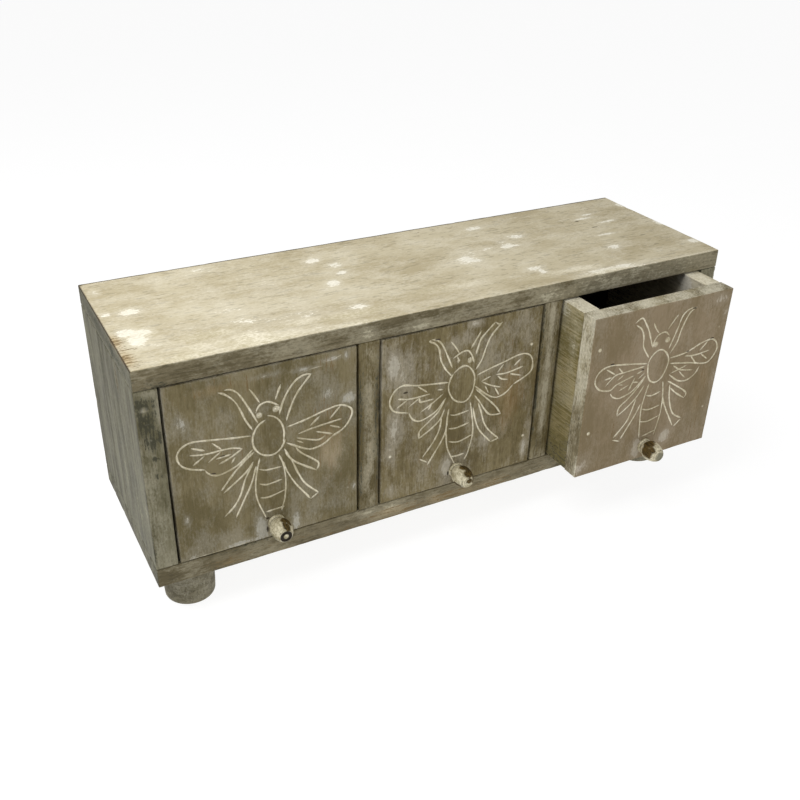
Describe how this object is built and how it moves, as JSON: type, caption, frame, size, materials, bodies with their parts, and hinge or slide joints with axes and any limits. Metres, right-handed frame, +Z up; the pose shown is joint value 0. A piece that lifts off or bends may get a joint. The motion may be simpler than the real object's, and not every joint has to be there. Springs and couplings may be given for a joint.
{
  "type": "drawer box",
  "caption": "Low wooden chest with drawers side by side, a carved bee on each front, small turned knobs and round feet, in a worn whitewash finish.",
  "frame": {"origin": "on the standing surface, under the middle of the carcass", "axes": "+Z up, +X along the chest's width to the right as seen from the front, front towards -Y"},
  "size_m": [0.4, 0.1701, 0.17],
  "materials": {
    "carcass_wood": "worn whitewash over olive-brown wood",
    "drawer_wood": "thin worn whitewash, bare wood showing",
    "thin_board": "bare thin board",
    "knob_paint": "cream paint worn through to dark wood",
    "foot_wood": "grey whitewash",
    "fastener_steel": "plain steel"
  },
  "bodies": {
    "cabinet": {"top_board": "carcass_wood", "base_board": "carcass_wood", "left_side": "carcass_wood", "right_side": "carcass_wood", "left_divider": "carcass_wood", "right_divider": "carcass_wood", "back_panel": "thin_board", "front_left_foot": "foot_wood", "front_right_foot": "foot_wood", "back_left_foot": "foot_wood", "back_right_foot": "foot_wood", "top_nails": "fastener_steel", "base_nails": "fastener_steel", "back_panel_pins": "fastener_steel", "foot_screws": "fastener_steel"},
    "left_drawer": {"left_drawer_front": "drawer_wood", "left_drawer_left_side": "drawer_wood", "left_drawer_right_side": "drawer_wood", "left_drawer_back": "drawer_wood", "left_drawer_floor": "thin_board", "left_drawer_knob": "knob_paint", "left_drawer_knob_screw": "fastener_steel", "left_drawer_front_nails": "fastener_steel", "left_drawer_back_nails": "fastener_steel", "left_drawer_floor_pins": "fastener_steel"},
    "middle_drawer": {"middle_drawer_front": "drawer_wood", "middle_drawer_left_side": "drawer_wood", "middle_drawer_right_side": "drawer_wood", "middle_drawer_back": "drawer_wood", "middle_drawer_floor": "thin_board", "middle_drawer_knob": "knob_paint", "middle_drawer_knob_screw": "fastener_steel", "middle_drawer_front_nails": "fastener_steel", "middle_drawer_back_nails": "fastener_steel", "middle_drawer_floor_pins": "fastener_steel"},
    "right_drawer": {"right_drawer_front": "drawer_wood", "right_drawer_left_side": "drawer_wood", "right_drawer_right_side": "drawer_wood", "right_drawer_back": "drawer_wood", "right_drawer_floor": "thin_board", "right_drawer_knob": "knob_paint", "right_drawer_knob_screw": "fastener_steel", "right_drawer_front_nails": "fastener_steel", "right_drawer_back_nails": "fastener_steel", "right_drawer_floor_pins": "fastener_steel"}
  },
  "joints": [
    {"name": "left_drawer_slide", "type": "slide", "parent": "cabinet", "child": "left_drawer", "axis": [0, -1, 0], "range_m": [0, 0.09]},
    {"name": "middle_drawer_slide", "type": "slide", "parent": "cabinet", "child": "middle_drawer", "axis": [0, -1, 0], "range_m": [0, 0.09]},
    {"name": "right_drawer_slide", "type": "slide", "parent": "cabinet", "child": "right_drawer", "axis": [0, -1, 0], "range_m": [-0.0315, 0.0585]}
  ]
}
